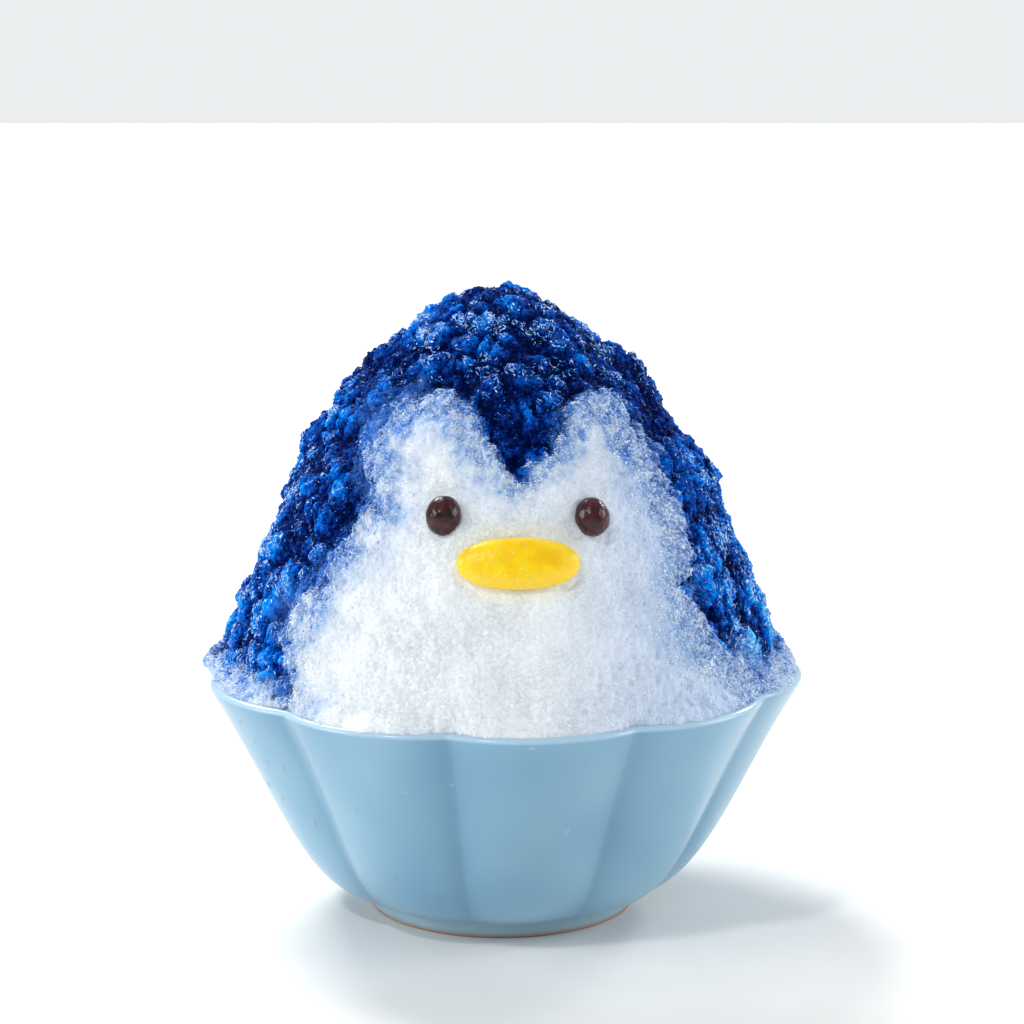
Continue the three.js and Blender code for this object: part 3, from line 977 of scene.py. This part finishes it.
def turns_along(rng, line, out, spread, lift):
    """Turns that lay a crystal's long side, Z, along a line in the ground, give or take a spread in radians,
    with its end lifted off the ground by some share of its length."""
    line = unit(line)
    angle = rng.normal(0, spread, (len(out), 1))
    raised = out * rng.normal(lift, lift, angle.shape)
    long = unit(line * np.cos(angle) + np.cross(out, line) * np.sin(angle) + raised)
    wide = unit(np.cross(out, long))
    return np.stack([wide, np.cross(long, wide), long], axis=2)


def down_slope(out):
    return np.array([0, 0, -1]) + out * out[:, 2:3]


def spots_on(rng, ground, weight, count):
    """Random places on a ground, their directions out of it, and the nearest of its points. More of them
    lie where the weight is higher."""
    a, b, c, d = (ground.points[ground.quads[:, i]] for i in range(4))
    across = np.cross(c - a, d - b)
    area = np.linalg.norm(across, axis=1)
    chance = area * np.clip(weight[ground.quads].mean(axis=1), 0, None)
    chosen = rng.choice(len(area), count, p=chance / chance.sum())
    s, t = rng.random((2, count, 1))
    at = lerp(lerp(a[chosen], b[chosen], s), lerp(d[chosen], c[chosen], s), t)
    return at, across[chosen] / area[chosen, None], ground.quads[chosen, 0]


def sides(rng, count, *ranges):
    """Random half lengths of a crystal's three sides."""
    return np.column_stack([rng.uniform(low, high, count) for low, high in ranges])


def crystals(name, rng, at, size, turns, tone, finish, slot, belt=4):
    """A piece of many crystals, each one of a tone from 0 to 1."""
    corners, faces = chip(belt)
    count = len(at)
    rough = corners[None] * rng.uniform(0.7, 1.15, (count, len(corners), 1))
    points = (rough * size[:, None, :]) @ turns.transpose(0, 2, 1) + at[:, None, :]
    all_faces = (faces[None] + (np.arange(count) * len(corners))[:, None, None]).reshape(-1, 3)
    values = {"tone": np.repeat(np.clip(tone, 0, 1), len(corners))}
    piece = mesh_object(name, points.reshape(-1, 3), all_faces, finish, smooth=False, values=values)
    return finished(piece, slot)


def make_blue_crystals(blue, white):
    """Wet grains of the tone of the ice they lie on, and a few strays on the dry ice."""
    rng = np.random.default_rng(SEED + 1)
    wet = 1 - 0.92 * smoothstep(blue.white, -frost_width(blue.points), -0.5)
    at, _, corner = spots_on(rng, blue, wet, BLUE_CRYSTALS)
    by_syrup = (1 - smoothstep(white.white, 0, 7)) * (white.white > 0.3)
    astray = by_syrup * (noise.waves(white.points + 150, 9) > 0.2)
    stray_at, _, _ = spots_on(rng, white, astray, STRAY_CRYSTALS)
    at = np.vstack([at, stray_at])
    # Each grain takes the painted shade and light of the ice under it.
    tone = blue.tone[corner] + rng.normal(0.08, 0.17, BLUE_CRYSTALS)
    tone = np.append(tone, rng.uniform(0.9, 1.3, STRAY_CRYSTALS))
    size = sides(rng, len(at), (0.22, 0.46), (0.16, 0.4), (0.25, 0.7))
    turns = random_turns(rng, len(at))
    return crystals("blue_crystals", rng, at, size, turns, tone, wet_crystal(), "blue_ice")


def make_glints(blue):
    """Painted highlights: bright slivers laid along the upper edges of the clumps, more and lighter ones
    high up and on the sides.
    """
    rng = np.random.default_rng(SEED + 3)
    x, _, z = blue.points.T
    normal = normals(blue.points, blue.quads)
    facing = np.clip(normal[:, 2] + 0.35 * np.abs(normal[:, 0]) + 0.1, 0, 1)
    patchy = np.clip(0.25 + 1.6 * noise.waves(blue.points + 90, 7), 0.03, 1)
    high = np.maximum(smoothstep(z, 122, 142), 0.8 * smoothstep(np.abs(x), 28, 55))
    weight = facing * patchy * (0.15 + blue.tone) * (1 + 1.5 * high)
    weight *= 1 - 0.75 * near(blue.points, AROUND_BROW)
    at, out, corner = spots_on(rng, blue, weight, GLINTS)
    tone, high = blue.tone[corner], high[corner]
    size = sides(rng, GLINTS, (0.07, 0.19), (0.05, 0.12), (0.18, 0.8)) * (1 + 0.3 * high[:, None])
    ledge = np.cross(out, blue.out[corner]) + rng.normal(0, 0.1, out.shape)
    turns = turns_along(rng, ledge, out, 0.5, 0.1)
    # Painted highlight: the glints are made lighter high up and on the sides.
    tone = rng.random(GLINTS) * (0.4 + 0.9 * tone + 0.7 * high)
    finish = crystal("painted_glint", rgb(0, 96, 206), rgb(60, 158, 242), rgb(212, 235, 253))
    return crystals("painted_glints", rng, at + 0.08 * out, size, turns, tone, finish, "white_ice", belt=3)


def make_white_crystals(white, beak, beak_wet):
    """Grains on the dry ice, bluer where syrup has seeped in and where the right side has painted shade, and
    some on the fruit where it is wet.
    """
    rng = np.random.default_rng(SEED + 2)
    weight = smoothstep(white.white, -1.0, 1.0) * (1.2 - smoothstep(white.white, 2, 12))
    at, _, corner = spots_on(rng, white, weight * (2.2 - 1.2 * white.tone), WHITE_CRYSTALS)
    beak_at, _, _ = spots_on(rng, beak, beak_wet, BEAK_CRYSTALS)
    count = WHITE_CRYSTALS + BEAK_CRYSTALS
    dry = np.append(white.tone[corner], np.full(BEAK_CRYSTALS, 0.8))
    size = sides(rng, count, (0.1, 0.28), (0.08, 0.22), (0.14, 0.5))
    size[:WHITE_CRYSTALS] *= lerp(1.35, 1.0, smoothstep(white.white[corner], 2, 8))[:, None]
    size[:WHITE_CRYSTALS] *= 1 + 0.5 * smoothstep(at[:, :1], 10, 40)
    size[WHITE_CRYSTALS:] *= 0.6
    finish = crystal("dry_crystal", rgb(62, 130, 216), rgb(204, 222, 245), rgb(254, 255, 255))
    tone = dry * rng.uniform(0.4, 1.0, count) + (1 - dry) * rng.uniform(0, 0.6, count)
    turns = random_turns(rng, count)
    at = np.vstack([at, beak_at])
    return crystals("white_crystals", rng, at, size, turns, tone, finish, "white_ice")


def make_frost(blue, white):
    """Feathery flakes where the dry ice meets the syrup, bluer on the syrup's side."""
    rng = np.random.default_rng(SEED + 4)
    over_blue = smoothstep(blue.white, -frost_width(blue.points), 0.5)
    over_white = (1 - smoothstep(white.white, 0, 6)) * (white.white > -0.6)
    blue_at, blue_out, blue_corner = spots_on(rng, blue, over_blue, FROST_ON_BLUE)
    white_at, white_out, white_corner = spots_on(rng, white, over_white, FROST_ON_WHITE)
    depth = np.append(blue.white[blue_corner], white.white[white_corner])
    # white.tone also carries the painted shade on the right, so the flakes there are bluer too.
    dry = np.append(np.full(FROST_ON_BLUE, 0.8), white.tone[white_corner])
    at = np.vstack([blue_at, white_at])
    out = np.vstack([blue_out, white_out])
    size = sides(rng, len(at), (0.04, 0.1), (0.12, 0.35), (0.25, 0.95))
    size *= 1 + 0.4 * smoothstep(at[:, :1], 10, 40)
    tone = smoothstep(depth, -5, 1.5) * (0.6 + 0.4 * dry) + rng.normal(0, 0.22, len(at))
    finish = crystal("frost", rgb(34, 104, 208), rgb(126, 174, 234), rgb(242, 248, 254))
    turns = turns_along(rng, down_slope(out), out, 1.2, 0.35)
    return crystals("frost_flakes", rng, at + 0.1 * out, size, turns, tone, finish, "white_ice", belt=3)


# ---------- droplets on the bowl
# Where a droplet hangs: degrees round the bowl, height, and half its width and length.
DROPLETS = (
    (-63.9, 37.4, 0.8, 1.1), (-60.3, 55.0, 0.5, 0.8), (-59.7, 34.7, 0.8, 1.1), (-58.4, 50.5, 0.6, 0.9),
    (-58.2, 44.8, 0.8, 1.0), (-53.1, 44.7, 0.5, 1.2), (-51.5, 29.8, 0.8, 1.2), (-32.6, 38.8, 0.4, 0.9),
    (-29.6, 39.4, 0.4, 0.8), (-27.9, 20.9, 0.5, 0.5), (-19.6, 45.5, 0.7, 0.6), (-10.0, 47.5, 0.7, 0.7),
    (-2.9, 34.6, 0.5, 0.5), (5.5, 59.4, 1.0, 0.5), (14.4, 35.3, 1.0, 1.1), (14.2, 17.3, 0.5, 0.6),
    (31.0, 20.7, 0.5, 0.6), (80.0, 56.5, 0.8, 1.3),
)
DROPLETS_BEHIND = 26


def wall_place(around, height):
    """The frame of a thing on the bowl's outside: X round it, Z up the wall and -Y out of it."""
    shares = np.linspace(0, 1, 400)
    share = np.interp(height, bezier(WALL_CURVE, shares)[0][:, 1], shares)
    step = 0.004
    rows = wall(np.array([share, share - step]), 0)
    here, beside, below, _ = turned(rows, np.array([around, around + step]))
    across = Vector(beside - here).normalized()
    out = across.cross(Vector(here - below)).normalized()
    up = out.cross(across)
    return Matrix.Translation(here) @ Matrix((across, -out, up)).transposed().to_4x4()


def make_droplets():
    rng = np.random.default_rng(SEED + 5)
    ranges = ((100, 260), (14, 56), (0.4, 0.9))
    around, height, half = (rng.uniform(low, high, DROPLETS_BEHIND) for low, high in ranges)
    drops = [*DROPLETS, *zip(around, height, half, 1.3 * half)]
    form, faces = ball(16, 9)
    points = []
    for around, height, wide, tall in drops:
        drop = form * (wide, 0.5 * wide, tall) * (1 + 0.12 * rng.normal(size=3))
        points.append(placed(drop, wall_place(math.radians(around), height)))
    all_faces = [np.vstack([group + i * len(form) for i in range(len(drops))]) for group in faces]
    piece = mesh_object("droplets", np.vstack(points), all_faces, water())
    return finished(piece, "water")


# ---------- stage, light and camera

CAMERA_DISTANCE = 755.0
CAMERA_ELEVATION = math.radians(11)
CAMERA_TARGET = 99.4
CAMERA_LENS = 107.0
CAMERA_SHIFT = 0.0105


def make_floor():
    made = Finish("floor", Roughness=0.6)
    tone = made.mix(made.range(made.grain(60, 2), 0.4, 0.6), rgb(238, 236, 232), rgb(243, 241, 238))
    half = 3000.0
    points = np.array([(-half, -half, 0), (half, -half, 0), (half, half, 0), (-half, half, 0)])
    floor = mesh_object("floor", points, np.array([[0, 1, 2, 3]]), made.painted(tone))


def sun(name, azimuth, elevation, spread, strength, colour=(1, 1, 1)):
    """A soft distant light. Azimuth 0 is behind the camera and 90 to its right, as the camera looks."""
    data = bpy.data.lights.new(name, "SUN")
    data.angle = math.radians(spread)
    data.energy = strength
    data.color = colour
    light = bpy.data.objects.new(name, data)
    a, e = math.radians(azimuth), math.radians(elevation)
    back = Vector((math.sin(a) * math.cos(e), -math.cos(a) * math.cos(e), math.sin(e)))
    light.rotation_euler = back.to_track_quat("Z", "Y").to_euler()
    bpy.context.scene.collection.objects.link(light)


def make_light():
    world = bpy.data.worlds.new("room")
    bpy.context.scene.world = world
    world.use_nodes = True
    tree = world.node_tree
    lit = tree.nodes["Background"]
    lit.inputs["Color"].default_value = (0.9, 0.95, 1.0, 1)
    lit.inputs["Strength"].default_value = 0.44
    seen = tree.nodes.new("ShaderNodeBackground")
    seen.inputs["Color"].default_value = rgb(236, 238, 240)
    path = tree.nodes.new("ShaderNodeLightPath")
    mix = tree.nodes.new("ShaderNodeMixShader")
    tree.links.new(path.outputs["Is Camera Ray"], mix.inputs[0])
    tree.links.new(lit.outputs[0], mix.inputs[1])
    tree.links.new(seen.outputs[0], mix.inputs[2])
    tree.links.new(mix.outputs[0], tree.nodes["World Output"].inputs["Surface"])
    sun("window", -150, 48, 20, 2.4)
    sun("left", -75, 22, 30, 1.35)
    sun("right", 90, 22, 30, 1.2)
    sun("edge", 140, 30, 14, 0.8)
    sun("sparkle", -35, 50, 5, 0.7)
    bpy.context.scene.view_settings.view_transform = "Standard"


def make_camera():
    data = bpy.data.cameras.new("camera")
    data.lens = CAMERA_LENS
    data.sensor_width = 36
    data.shift_x = CAMERA_SHIFT
    camera = bpy.data.objects.new("camera", data)
    out, up = math.cos(CAMERA_ELEVATION), math.sin(CAMERA_ELEVATION)
    camera.location = Vector((0, -CAMERA_DISTANCE * out, CAMERA_TARGET + CAMERA_DISTANCE * up)) * MM
    camera.rotation_euler = (math.pi / 2 - CAMERA_ELEVATION, 0, 0)
    bpy.context.scene.collection.objects.link(camera)
    bpy.context.scene.camera = camera


# ---------- the whole
BEAN = bean()
make_bowl()
blue_ground = make_blue_ice()
white_ground = make_white_ice()
make_eye("eye_left_bean", "eye_left", -1)
make_eye("eye_right_bean", "eye_right", 1)
beak_ground, beak_wet = make_beak()
make_blue_crystals(blue_ground, white_ground)
make_white_crystals(white_ground, beak_ground, beak_wet)
make_glints(blue_ground)
make_frost(blue_ground, white_ground)
make_droplets()
make_floor()
make_light()
make_camera()
